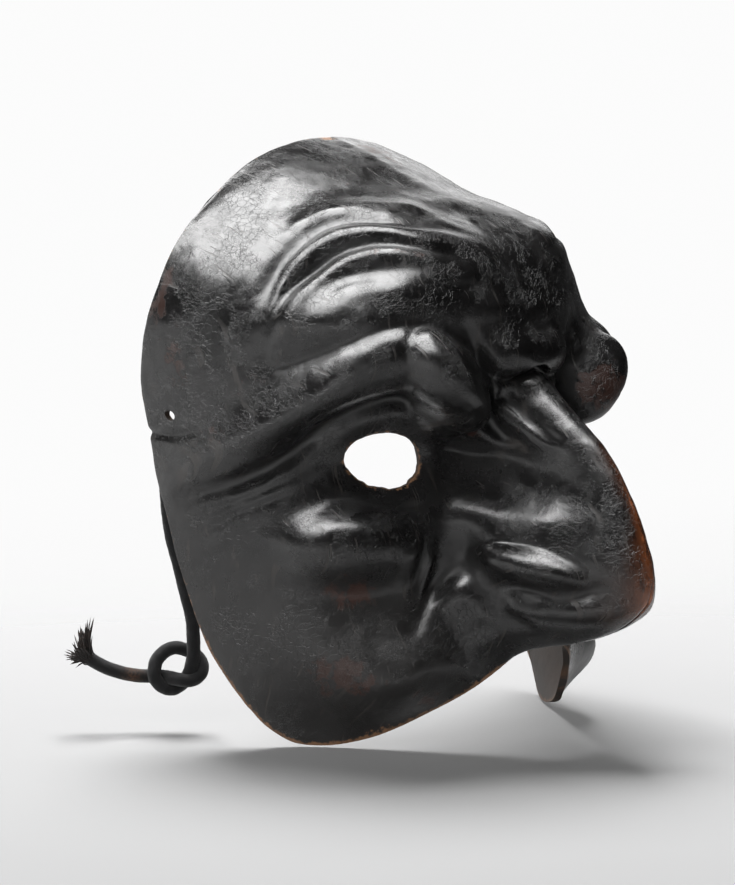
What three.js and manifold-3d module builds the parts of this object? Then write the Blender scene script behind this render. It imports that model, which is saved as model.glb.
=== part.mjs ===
// A moulded leather half mask with heavy brows, a hooked nose and open eye holes,
// and the knotted tie cord that hangs from the inside of one temple.
// Millimetres, +Z up, the mask looks towards -Y. The origin is the wearer's nose bridge,
// inside the mask between the eyes.
import * as THREE from 'three';
import { ParametricGeometry } from 'three/addons/geometries/ParametricGeometry.js';
import { mergeVertices } from 'three/addons/utils/BufferGeometryUtils.js';
import Module from 'manifold-3d';

const wasm = await Module();
wasm.setup();

// ---- sizes ----
const MASK_WIDTH = 161;       // across the temples
const MASK_HEIGHT = 193;      // crown rim to the lowest point of the cheeks
const MASK_DEPTH = 148;       // nose tip to the rearmost point of the rim
const LEATHER = 2.4;          // thickness of the moulded leather
const RIM_ROUND = 0.7;        // how far the cut edge bulges past the faces
const FOLD_SPREAD = 3.2;      // every fold is spread by this radius, so the facets can carry it
const NOSE_LENGTH = 50;       // how far the nose stands out from the lip edge
const EYE_ACROSS = 53;        // eye hole centre, along the leather from the middle line
const EYE_UP = 53;            // eye hole centre above the lip edge
const EYE_WIDTH = 26.8;
const EYE_HEIGHT = 16.8;
const TIE_HOLE = 3.4;         // diameter of the hole at each temple
const TIE_HOLE_ACROSS = 124;  // along the leather from the middle line
const TIE_HOLE_UP = 67;
const CORD = 4.5;             // diameter of the tie cord
const CORD_ACROSS = 131;      // where the cord's upper end lies against the inner face
const CORD_UP = 62;
const KNOT_WIDTH = 17.5;      // the loose overhand knot, across its open loop
const FRAY_LENGTH = 9;        // the loosened strands at the cord's end
const FRAY_WIDTH = 10;
const GAP = 0.3;              // between pieces that touch

const COLUMNS = 52;           // facets across the mask
const ROWS_DOWN = 46;         // facets from the crown to the lip
const LENGTH_ACROSS = 133;    // length of leather from the middle line to the rim at the temple
const NOSE_BRIDGE = new THREE.Vector3(0, 12, 60);  // the origin, from the middle of the lip edge

// ---- the plain bowl of the mask ----
// Every place is measured from the middle of the lip edge, on one half of the mask.
// Each row runs from the middle line to the rim:
// [share of the way down, middle back, middle up, rim across, rim back, rim up, roundness]
const BOWL = [
  [0.00, 91, 155.5, 56, 93, 135.3, 2.0],
  [0.08, 74, 150, 68.5, 94, 122.8, 2.0],
  [0.17, 55, 141.5, 76, 96, 107, 2.0],
  [0.26, 36, 132, 79.5, 98, 94, 2.0],
  [0.35, 19, 121, 80.5, 99, 79, 2.0],
  [0.44, 8, 108, 80.5, 97, 68, 2.0],
  [0.52, 2, 93, 80, 95, 59, 2.0],
  [0.60, 5, 77, 80, 92.5, 48, 1.85],
  [0.68, 9, 61, 80, 88, 36, 1.7],
  [0.76, 9, 44, 79, 82, 17, 1.6],
  [0.84, 7, 28, 76, 74, -5, 1.5],
  [0.92, 3, 13, 73, 68, -16, 1.4],
  [1.00, 0, 0, 70, 62, -25, 1.3],
];
const LOWER_EDGE = [
  [0, 0, 0], [8, -3, -6], [17, -0.6, -12.5], [24, 6, -19.6], [33, 15, -26.6], [44, 26.6, -34],
  [52, 36.7, -37.3], [58, 44.3, -37.8], [62, 49.3, -36.6], [67, 55.7, -31.6], [70, 62, -25],
];
const CROWN_EDGE = [
  [0, 91, 155.5], [14, 91.5, 154.3], [28, 92, 151.2], [41, 92.5, 145.5], [56, 93, 135.3],
];
// The nose: [share of the way down, ridge back, ridge up, half width, shoulder, flare]
const NOSE = [
  [0.52, 2, 93, 10, 2, 2],
  [0.58, 4.5, 82, 11, 2, 2],
  [0.61, -4, 75, 13, 2, 2],
  [0.64, -15, 68.5, 16, 2, 1.9],
  [0.69, -29, 58.5, 21, 2, 1.8],
  [0.75, -40, 43.3, 26, 2, 1.7],
  [0.80, -45.5, 31.2, 29, 2, 1.6],
  [0.85, -48.8, 18.9, 31, 2, 1.6],
  [0.885, -46.8, 10.5, 31, 2, 1.6],
  [0.92, -35.5, 2, 29, 2, 1.6],
  [0.96, -18, -2.4, 24, 2, 1.5],
  [1.00, 0, 0, 20, 2, 1.4],
];

// ---- the modelled features ----
// Folds follow a path of [along the leather from the middle line, up], with the radius above
// and below the path, and heights spread evenly along it; a negative height is a furrow.
const FOLDS = [
  { name: 'brow', path: [[122, 46], [104, 56], [90, 65], [80, 72], [70, 79], [60, 84], [50, 86.5], [40, 86], [32, 82], [26, 74]],
    above: [8, 8, 7, 7, 7, 7], below: [8, 8, 8, 9, 9, 8], heights: [1, 3.5, 6.5, 9, 10, 8, 5] },
  { name: 'over the brow', path: [[91, 82], [73, 88], [60, 92], [50, 95], [40, 96.5], [31, 97]],
    above: [2.2], below: [2.2], heights: [0, -1, -1.6, -1.8, -1.6, 0] },
  { name: 'first ridge', path: [[74, 118], [57, 127], [47, 130], [33, 132], [20, 131], [6, 130]],
    above: [3], below: [3], heights: [0, 1.2, 1.8, 1.8, 1.4, 0.2] },
  { name: 'first furrow', path: [[86, 98], [75, 113], [61, 122], [50, 126], [42, 126], [31, 124], [21, 123], [8, 122]],
    above: [2.4], below: [1.8], heights: [0, -1.2, -2, -2.3, -2, -1.4, -0.2] },
  { name: 'second ridge', path: [[84, 98], [76, 108], [66, 117], [54, 121], [42, 121.5], [30, 119], [14, 118]],
    above: [3], below: [3], heights: [0, 0.8, 1.4, 1.4, 1.2, 0.8, 0] },
  { name: 'second furrow', path: [[92, 84], [82, 98], [74, 107], [66, 112], [56, 117], [48, 118.5], [39, 118], [28, 115], [12, 116]],
    above: [1.5], below: [1.5], heights: [0, -0.9, -1.7, -2.2, -2.2, -2, -1.2, 0] },
  { name: 'third ridge', path: [[84, 90], [70, 106], [58, 112.5], [47, 115], [37, 114.5], [26, 112]],
    above: [2.2], below: [2.2], heights: [0, 0.9, 1.4, 1.4, 1, 0] },
  { name: 'third furrow', path: [[76, 97], [61, 108], [54, 110], [46, 110.5], [36, 110.5], [27, 111]],
    above: [3], below: [3], heights: [0, -0.9, -1.5, -1.5, -1.1, 0] },
  { name: 'nose root', path: [[0, 80], [14, 80], [22, 84]],
    above: [2], below: [2.2], heights: [-3.5, -3, -0.5] },
  { name: 'frown', path: [[26, 95], [22, 85], [20.5, 74], [19, 63]],
    above: [2.6], below: [2.6], heights: [-1, -5, -6, -3.5] },
  { name: 'lid crease', path: [[122, 41], [103, 46.6], [90, 52], [80, 58.7], [72, 66], [62, 71], [50, 74], [42, 71.5], [36, 67], [30, 62], [21, 58]],
    above: [2.6], below: [3.8], heights: [-1, -2.5, -3.5, -4, -4.5, -5, -4.5, -3.5, -1.5] },
  { name: 'bag ridge', path: [[45, 33], [49, 25], [55, 15]],
    above: [2.4], below: [2.4], heights: [0.3, 2, 0.4] },
  { name: 'cheek ridge', path: [[40.5, 30], [44, 20], [50, 9], [54, 3]],
    above: [2.4], below: [2.4], heights: [0.3, 2.2, 1.8, 0.2] },
  { name: 'nose to mouth', path: [[34, 36], [37, 28], [41.5, 19.5], [47.5, 11], [54, 3], [59, -3]],
    above: [2.2], below: [2.6], heights: [-0.5, -2.6, -4.6, -4.2, -1.8, 0] },
  { name: 'behind the nostril', path: [[35, 31], [38, 23], [38, 15], [35.5, 9], [30, 7]],
    above: [2.3], below: [2.3], heights: [-0.4, -1.8, -2.6, -2.8, -1.6] },
  { name: 'nostril furrow', path: [[37, 14], [31, 18], [24, 20], [17, 23]],
    above: [2.2], below: [2], heights: [-0.5, -2.4, -2, 0] },
  { name: 'nose roll', path: [[36, 8], [31, 11], [25, 13.5], [18, 16], [8, 18]],
    above: [3], below: [3.6], heights: [1, 3.4, 3.6, 2.4, 0.4] },
  { name: 'lip side', path: [[30, 3], [36, -4]],
    above: [5], below: [5], heights: [1.5, 2.2] },
  { name: 'glabella', path: [[0, 86.5], [8, 87], [14, 88.5], [19, 92]],
    above: [12], below: [6], heights: [8, 7.5, 5, 1] },
];
// Swellings and hollows: across, up, half length, half height, turn, height, flatness
const SWELLINGS = [
  { name: 'forehead boss', at: [32, 119], size: [27, 12], turn: 0, height: 8, flat: 1.2 },
  { name: 'lower forehead', at: [53, 100.5], size: [30, 10.5], turn: -0.17, height: 8, flat: 1.5 },
  { name: 'over the nose', at: [17, 101], size: [10, 4], turn: -0.1, height: 2, flat: 1 },
  { name: 'eye socket', at: [50, 54], size: [24, 12], turn: 0, height: -8, flat: 1 },
  { name: 'inner corner', at: [24, 54], size: [9, 12], turn: 0, height: -6, flat: 1 },
  { name: 'eye bag', at: [70, 27], size: [20, 11.5], turn: -0.1, height: 9, flat: 1.6 },
  { name: 'cheek', at: [88, 0], size: [26, 24], turn: 0.2, height: 3, flat: 1 },
  { name: 'jowl', at: [60, -20], size: [32, 19], turn: 0.25, height: 10.5, flat: 1.1 },
];
// Rounder swellings, with a foot
const DOMES = [
  { name: 'brow lobe', at: [33.5, 76], size: [21, 13], turn: 1.08, height: 13.5 },
  { name: 'nostril wing', at: [29.5, 23], size: [7.5, 6.5], turn: 0.1, height: 5 },
];

const wide = MASK_WIDTH / 161;
const deep = MASK_DEPTH / 148;
const tall = MASK_HEIGHT / 193;
const nosy = NOSE_LENGTH / 50;

// a smooth curve through a table's column
function through(table, column, x) {
  const last = table.length - 1;
  let i = 0;
  while (i < last - 1 && x > table[i + 1][0]) i += 1;
  const slope = (k) => {
    const a = table[Math.max(k - 1, 0)];
    const b = table[Math.min(k + 1, last)];
    return (b[column] - a[column]) / (b[0] - a[0]);
  };
  const step = table[i + 1][0] - table[i][0];
  const s = THREE.MathUtils.clamp((x - table[i][0]) / step, 0, 1);
  const s2 = s * s;
  const s3 = s2 * s;
  return (2 * s3 - 3 * s2 + 1) * table[i][column] + (s3 - 2 * s2 + s) * step * slope(i)
    + (3 * s2 - 2 * s3) * table[i + 1][column] + (s3 - s2) * step * slope(i + 1);
}

function edgeCurve(points) {
  const curve = new THREE.CatmullRomCurve3(points.map((p) => new THREE.Vector3(...p)), false, 'centripetal');
  curve.arcLengthDivisions = 400;
  return curve;
}
const lowerEdge = edgeCurve(LOWER_EDGE);
const crownEdge = edgeCurve(CROWN_EDGE);

function rowPoint(share, row) {
  const turn = share * Math.PI / 2;
  const [back, up, rimAcross, rimBack, rimUp, round] = row;
  return new THREE.Vector3(
    rimAcross * Math.sin(turn) ** (2 / round),
    rimBack - (rimBack - back) * Math.max(Math.cos(turn), 0) ** (2 / round),
    up + (rimUp - up) * share ** 1.6,
  );
}
const rowAt = (down) => [1, 2, 3, 4, 5, 6].map((column) => through(BOWL, column, down));

// the bowl without features; share runs from the middle line (0) to the rim (1)
function bowl(share, down) {
  const p = rowPoint(share, rowAt(down));
  const lowerFix = lowerEdge.getPointAt(share ** 1.1).sub(rowPoint(share, BOWL[BOWL.length - 1].slice(1)));
  const early = THREE.MathUtils.smoothstep(down, 0.55, 1);
  const late = THREE.MathUtils.smoothstep(down, 0.9, 1);
  const fromNose = THREE.MathUtils.smoothstep(p.x, 14, 45);
  p.addScaledVector(lowerFix, THREE.MathUtils.lerp(late, early, fromNose));
  const crownFix = crownEdge.getPointAt(share).sub(rowPoint(share, BOWL[0].slice(1)));
  p.addScaledVector(crownFix, 1 - THREE.MathUtils.smoothstep(down, 0, 0.3));
  return p;
}

function noseShare(across, halfWidth, shoulder, flare) {
  const near = THREE.MathUtils.clamp(across / halfWidth, 0, 1);
  return [(1 - near ** shoulder) ** flare, 1 - near * near];
}

function withNose(share, down) {
  const p = bowl(share, down);
  const [ridgeBack, ridgeUp, halfWidth, shoulder, flare] = [1, 2, 3, 4, 5].map((c) => through(NOSE, c, down));
  const [full, narrow] = noseShare(p.x, halfWidth, shoulder, flare);
  const pull = full * THREE.MathUtils.smoothstep(down, 0.5, 0.56);
  p.y += pull * nosy * (ridgeBack - through(BOWL, 1, down));
  p.z += pull * narrow * (ridgeUp - through(BOWL, 2, down));
  return p;
}

const spread = (list, s) => {
  const x = s * (list.length - 1);
  const i = Math.min(Math.floor(x), list.length - 2);
  return list.length === 1 ? list[0] : THREE.MathUtils.lerp(list[i], list[i + 1], x - i);
};
for (const fold of FOLDS) {
  fold.line = new THREE.SplineCurve(fold.path.map((p) => new THREE.Vector2(...p))).getSpacedPoints(20);
}

// height of the features over the bowl at a place on the leather
function relief(across, up) {
  let height = 0;
  for (const fold of FOLDS) {
    let best = Infinity;
    let along = 0;
    let side = 0;
    for (let i = 0; i < fold.line.length - 1; i += 1) {
      const a = fold.line[i];
      const b = fold.line[i + 1];
      const dx = b.x - a.x;
      const dy = b.y - a.y;
      const s = THREE.MathUtils.clamp(((across - a.x) * dx + (up - a.y) * dy) / (dx * dx + dy * dy), 0, 1);
      const ox = across - a.x - s * dx;
      const oy = up - a.y - s * dy;
      const away = Math.hypot(ox, oy);
      if (away < best) {
        best = away;
        along = (i + s) / (fold.line.length - 1);
        side = THREE.MathUtils.clamp(-(dx * oy - dy * ox) / Math.hypot(dx, dy) / (away + 0.3), -1, 1);
      }
    }
    const drawn = THREE.MathUtils.lerp(spread(fold.below, along), spread(fold.above, along), 0.5 + 0.5 * side);
    const radius = Math.hypot(drawn, FOLD_SPREAD);
    height += spread(fold.heights, along) * (drawn / radius) * Math.exp(-((best / radius) ** 2));
  }
  const reach = (swelling) => {
    const dx = across - swelling.at[0];
    const dy = up - swelling.at[1];
    const x = (dx * Math.cos(swelling.turn) + dy * Math.sin(swelling.turn)) / swelling.size[0];
    const y = (dy * Math.cos(swelling.turn) - dx * Math.sin(swelling.turn)) / swelling.size[1];
    return x * x + y * y;
  };
  for (const swelling of SWELLINGS) height += swelling.height * Math.exp(-(reach(swelling) ** swelling.flat));
  for (const dome of DOMES) height += dome.height * Math.max(1 - reach(dome), 0) ** 0.85;
  return height;
}

const STEP = 0.004;
function normalOf(surface, share, down) {
  const s0 = Math.max(share - STEP, 0);
  const s1 = Math.min(share + STEP, 1);
  const d0 = Math.max(down - STEP, 0);
  const d1 = Math.min(down + STEP, 1);
  const across = surface(s1, down).sub(surface(s0, down));
  const along = surface(share, d1).sub(surface(share, d0));
  const normal = across.cross(along).negate();
  if (share === 0) normal.x = 0;
  return normal.normalize();
}

// the outer face on the +X half, at full size
function outerHalf(share, down) {
  const p = withNose(share, down);
  const place = bowl(share, down);
  const fade = THREE.MathUtils.smoothstep(1 - down, 0, 0.09) ** 0.7;
  p.addScaledVector(normalOf(withNose, share, down), fade * relief(LENGTH_ACROSS * share, place.z));
  p.x *= wide;
  p.y *= deep;
  p.z *= tall;
  if (share === 0) p.x = 0;
  return p;
}

function outer(across, down) {
  const p = outerHalf(Math.abs(across), down);
  if (across < 0) p.x = -p.x;
  return p;
}
function outward(across, down) {
  const share = Math.min(Math.abs(across), 0.97);
  const n = normalOf(outerHalf, share, THREE.MathUtils.clamp(down, 0.02, 0.985));
  if (across < 0) n.x = -n.x;
  return n;
}

// ---- the leather shell: a closed loop of columns, over the outer face and back inside ----
const AROUND = 2 * COLUMNS + 4;
const DOWN = ROWS_DOWN + 2;
// columns stand closer together at the nose than at the temples
const columnPlace = (i) => {
  const s = 2 * i / COLUMNS - 1;
  return Math.sign(s) * (0.8 * Math.abs(s) + 0.2 * Math.abs(s) ** 2.2);
};
function shellPoint(a, b, target) {
  const i = (AROUND - Math.round(a * AROUND)) % AROUND;
  const j = Math.round(b * DOWN);
  const down = THREE.MathUtils.clamp((j - 1) / ROWS_DOWN, 0, 1);
  const onEdgeRow = j === 0 || j === DOWN;
  let column = i - 1;
  let depth = 0;
  if (i > COLUMNS + 2) {
    column = AROUND - 1 - i;
    depth = 1;
  }
  const onEdgeColumn = i === 0 || i === COLUMNS + 2;
  column = THREE.MathUtils.clamp(column, 0, COLUMNS);
  const across = columnPlace(column);
  const normal = outward(across, down);
  const p = outer(across, down);
  if (onEdgeRow || onEdgeColumn) depth = 0.5;
  p.addScaledVector(normal, -LEATHER * depth);
  if (onEdgeRow) {
    const inside = outer(across, down === 0 ? 0.02 : 0.98);
    p.addScaledVector(outer(across, down).sub(inside).normalize(), RIM_ROUND);
  } else if (onEdgeColumn) {
    const inside = outer(Math.sign(across) * 0.98, down);
    p.addScaledVector(outer(across, down).sub(inside).normalize(), RIM_ROUND);
  }
  target.copy(p);
}

// ---- solids ----
function solidOf(geometry) {
  const plain = geometry.clone();
  plain.deleteAttribute('normal');
  plain.deleteAttribute('uv');
  const merged = mergeVertices(plain, 1e-4);
  const position = merged.getAttribute('position');
  const corners = [];
  const index = merged.getIndex();
  for (let i = 0; i < index.count; i += 3) {
    const [a, b, c] = [index.getX(i), index.getX(i + 1), index.getX(i + 2)];
    if (a !== b && b !== c && a !== c) corners.push(a, b, c);
  }
  return new wasm.Manifold(new wasm.Mesh({
    numProp: 3,
    vertProperties: new Float32Array(position.array),
    triVerts: new Uint32Array(corners),
  }));
}
function geometryOf(solid) {
  const mesh = solid.getMesh();
  const geometry = new THREE.BufferGeometry();
  geometry.setAttribute('position', new THREE.BufferAttribute(new Float32Array(mesh.vertProperties), 3));
  geometry.setIndex(new THREE.BufferAttribute(new Uint32Array(mesh.triVerts), 1));
  geometry.computeVertexNormals();
  return geometry;
}

// the place on the outer face that lies at a height on the plain bowl
function downAt(share, up) {
  let low = 0;
  let high = 1;
  for (let i = 0; i < 40; i += 1) {
    const middle = (low + high) / 2;
    if (bowl(share, middle).z > up) low = middle;
    else high = middle;
  }
  return (low + high) / 2;
}

// a prism with its axis square to the leather at a place, through both faces
function punch(outline, across, up, sign, reach) {
  const share = across / LENGTH_ACROSS;
  const down = downAt(share, up);
  const centre = outer(sign * share, down);
  const axis = outward(sign * share, down);
  const prism = new THREE.ExtrudeGeometry(outline, { depth: 2 * reach, bevelEnabled: false, curveSegments: 4 });
  prism.translate(0, 0, -reach);
  const level = new THREE.Vector3(-axis.y, axis.x, 0).normalize();
  const upright = new THREE.Vector3().crossVectors(axis, level);
  prism.applyMatrix4(new THREE.Matrix4().makeBasis(level, upright, axis).setPosition(centre));
  return solidOf(prism);
}

function eyeOutline(sign) {
  const points = [];
  for (let i = 0; i < 28; i += 1) {
    const turn = i / 28 * Math.PI * 2;
    const rough = 1 + 0.03 * Math.sin(5 * turn + 1) - 0.025 * Math.cos(9 * turn);
    const lower = Math.sin(turn) < 0 ? 0.97 : 1;
    points.push(new THREE.Vector2(
      sign * 0.5 * EYE_WIDTH * rough * Math.cos(turn),
      0.5 * EYE_HEIGHT * lower * rough * Math.sin(turn),
    ));
  }
  return new THREE.Shape(points);
}
const holeOutline = new THREE.Shape().absarc(0, 0, TIE_HOLE / 2, 0, Math.PI * 2, false);

let shell = solidOf(new ParametricGeometry(shellPoint, AROUND, DOWN));
for (const sign of [-1, 1]) {
  shell = shell.subtract(punch(eyeOutline(sign), EYE_ACROSS, EYE_UP, sign, 11));
  shell = shell.subtract(punch(holeOutline, TIE_HOLE_ACROSS, TIE_HOLE_UP, sign, 5));
}

// ---- the tie cord ----
// Its upper end lies against the inner face of the -X temple. It hangs to a loose knot, and
// its short tail stands out behind and ends in loosened strands.
const cordShare = CORD_ACROSS / LENGTH_ACROSS;
const cordDown = downAt(cordShare, CORD_UP);
const cordTop = outer(-cordShare, cordDown)
  .addScaledVector(outward(-cordShare, cordDown), -(LEATHER + GAP + CORD / 2));
const fromTop = (x, y, z) => cordTop.clone().add(new THREE.Vector3(x, y, z));
const knotCentre = fromTop(7.5, 2, -80.5);
const hanging = new THREE.CatmullRomCurve3([
  cordTop, fromTop(1.2, 0.4, -17.5), fromTop(3, 0.7, -33.8), fromTop(6.2, -0.2, -46.7),
  fromTop(8.6, -1.4, -57), fromTop(9.6, -1.6, -66), fromTop(9.5, -0.9, -70.2),
]);
const tail = new THREE.CatmullRomCurve3([
  knotCentre.clone().add(new THREE.Vector3(-6.6, 7, -2.2)),
  knotCentre.clone().add(new THREE.Vector3(-12, 12.6, -2)),
  knotCentre.clone().add(new THREE.Vector3(-18, 18.8, 1.4)),
  knotCentre.clone().add(new THREE.Vector3(-22, 23, 4.6)),
]);
const roundSection = (diameter, sides) => {
  const points = [];
  for (let i = 0; i < sides; i += 1) {
    const turn = i / sides * Math.PI * 2;
    points.push(new THREE.Vector2(diameter / 2 * Math.cos(turn), diameter / 2 * Math.sin(turn)));
  }
  return new THREE.Shape(points);
};
const cordTube = (path, steps) => new THREE.ExtrudeGeometry(roundSection(CORD, 10), {
  steps, bevelEnabled: false, extrudePath: path,
});

// the knot as one ring, open in the middle, its opening facing out past the temple
const ringProfile = [];
const ringMiddle = KNOT_WIDTH / 2 - CORD * 0.6;
for (let i = 0; i <= 10; i += 1) {
  const turn = i / 10 * Math.PI * 2;
  ringProfile.push(new THREE.Vector2(
    ringMiddle + 0.6 * CORD * Math.cos(turn),
    0.8 * CORD * Math.sin(turn),
  ));
}
ringProfile[10].copy(ringProfile[0]);
const ring = new THREE.LatheGeometry(ringProfile, 20);

// the loosened strands as one flaring plug
const tailEnd = tail.getPoint(1);
const tailWay = tail.getTangent(1);
const fray = new THREE.LatheGeometry([
  new THREE.Vector2(0, 0),
  new THREE.Vector2(CORD / 2, 0),
  new THREE.Vector2(FRAY_WIDTH * 0.42, FRAY_LENGTH * 0.4),
  new THREE.Vector2(FRAY_WIDTH / 2, FRAY_LENGTH * 0.75),
  new THREE.Vector2(FRAY_WIDTH * 0.36, FRAY_LENGTH),
  new THREE.Vector2(0, FRAY_LENGTH),
], 12);

// ---- the scene graph ----
const leather = new THREE.MeshStandardMaterial({ color: 0x17130f, roughness: 0.28, metalness: 0 });
const cotton = new THREE.MeshStandardMaterial({ color: 0x0c0b0b, roughness: 0.9, metalness: 0 });
const mask = new THREE.Group();

function piece(name, geometry, material) {
  const mesh = new THREE.Mesh(geometry, material);
  mesh.name = name;
  mask.add(mesh);
  return mesh;
}
piece('mask_shell', geometryOf(shell), leather);
piece('tie_cord', cordTube(hanging, 9), cotton);
const knot = piece('tie_cord_knot', ring, cotton);
knot.quaternion.setFromUnitVectors(new THREE.Vector3(0, 1, 0), new THREE.Vector3(-0.70, -0.71, 0.1).normalize());
knot.position.copy(knotCentre);
piece('tie_cord_tail', cordTube(tail, 4), cotton);
const strands = piece('tie_cord_frayed_end', fray, cotton);
strands.quaternion.setFromUnitVectors(new THREE.Vector3(0, 1, 0), tailWay);
strands.position.copy(tailEnd).addScaledVector(tailWay, GAP);

for (const mesh of mask.children) mesh.position.sub(NOSE_BRIDGE);

export default mask;
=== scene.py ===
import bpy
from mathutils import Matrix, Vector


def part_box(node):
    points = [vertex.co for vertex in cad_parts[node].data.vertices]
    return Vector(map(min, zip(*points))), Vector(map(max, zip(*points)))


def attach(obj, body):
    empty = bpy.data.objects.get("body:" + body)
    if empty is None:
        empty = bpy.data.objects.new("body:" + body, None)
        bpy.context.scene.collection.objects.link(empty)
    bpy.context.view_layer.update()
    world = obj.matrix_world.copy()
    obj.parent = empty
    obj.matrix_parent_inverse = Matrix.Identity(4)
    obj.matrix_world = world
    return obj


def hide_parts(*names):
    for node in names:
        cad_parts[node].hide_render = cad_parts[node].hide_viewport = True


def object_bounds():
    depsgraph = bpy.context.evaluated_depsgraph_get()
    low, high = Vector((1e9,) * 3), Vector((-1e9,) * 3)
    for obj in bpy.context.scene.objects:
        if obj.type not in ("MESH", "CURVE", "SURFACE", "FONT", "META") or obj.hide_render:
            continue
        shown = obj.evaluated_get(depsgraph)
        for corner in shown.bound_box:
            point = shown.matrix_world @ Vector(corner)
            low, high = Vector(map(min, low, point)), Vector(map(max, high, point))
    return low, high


bl_info = {
    "name": "Moulded Leather Half Mask",
    "version": (1, 0, 0),
    "blender": (4, 5, 0),
    "location": "View3D > Sidebar > Leather Mask",
    "description": "Builds a hand-moulded leather half mask with its knotted tie cord, and a studio stage",
    "category": "Object",
}

import math

import bmesh
import bpy
import numpy as np
from bpy.props import FloatProperty, FloatVectorProperty, IntProperty, PointerProperty
from mathutils import Vector, noise

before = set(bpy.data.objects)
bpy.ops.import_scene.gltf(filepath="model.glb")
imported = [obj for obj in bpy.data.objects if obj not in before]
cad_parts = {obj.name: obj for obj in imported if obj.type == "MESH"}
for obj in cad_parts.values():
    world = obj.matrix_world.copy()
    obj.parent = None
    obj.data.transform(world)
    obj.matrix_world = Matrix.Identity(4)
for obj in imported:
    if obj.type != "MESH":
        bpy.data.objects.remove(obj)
CAD_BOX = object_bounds()

# ---------------------------------------------------------------------------
# The shape of the leather. Drawn in millimetres from the middle of the lip edge,
# on one half of the face: +X across, +Y back, +Z up.
# ---------------------------------------------------------------------------
NOSE_BRIDGE = (0.0, 12.0, 60.0)      # the row's origin, from the middle of the lip edge
LENGTH_ACROSS = 133.0                # length of leather from the middle line to the temple rim

# share of the way down, middle back, middle up, rim across, rim back, rim up, roundness
BOWL = np.array([
    (0.00, 91, 155.5, 56, 93, 135.3, 2.0),
    (0.08, 74, 150, 68.5, 94, 122.8, 2.0),
    (0.17, 55, 141.5, 76, 96, 107, 2.0),
    (0.26, 36, 132, 79.5, 98, 94, 2.0),
    (0.35, 19, 121, 80.5, 99, 79, 2.0),
    (0.44, 8, 108, 80.5, 97, 68, 2.0),
    (0.52, 2, 93, 80, 95, 59, 2.0),
    (0.60, 5, 77, 80, 92.5, 48, 1.85),
    (0.68, 9, 61, 80, 88, 36, 1.7),
    (0.76, 9, 44, 79, 82, 17, 1.6),
    (0.84, 7, 28, 76, 74, -5, 1.5),
    (0.92, 3, 13, 73, 68, -16, 1.4),
    (1.00, 0, 0, 70, 62, -25, 1.3),
])
LOWER_EDGE = np.array([
    (0, 0, 0), (8, -3, -6), (17, -0.6, -12.5), (24, 6, -19.6), (33, 15, -26.6), (44, 26.6, -34),
    (52, 36.7, -37.3), (58, 44.3, -37.8), (62, 49.3, -36.6), (67, 55.7, -31.6), (70, 62, -25),
], float)
CROWN_EDGE = np.array([
    (0, 91, 155.5), (14, 91.5, 154.3), (28, 92, 151.2), (41, 92.5, 145.5), (56, 93, 135.3),
])
# share of the way down, ridge back, ridge up, half width, shoulder, flare
NOSE = np.array([
    (0.52, 2, 93, 10, 2, 2),
    (0.58, 4.5, 82, 11, 2, 2),
    (0.61, -4, 75, 13, 2, 2),
    (0.64, -15, 68.5, 16, 2, 1.9),
    (0.69, -29, 58.5, 21, 2, 1.8),
    (0.75, -40, 43.3, 26, 2, 1.7),
    (0.80, -45.5, 31.2, 29, 2, 1.6),
    (0.85, -48.8, 18.9, 31, 2, 1.6),
    (0.885, -46.8, 10.5, 31, 2, 1.6),
    (0.92, -35.5, 2, 29, 2, 1.6),
    (0.96, -18, -2.4, 24, 2, 1.5),
    (1.00, 0, 0, 20, 2, 1.4),
])

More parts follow.
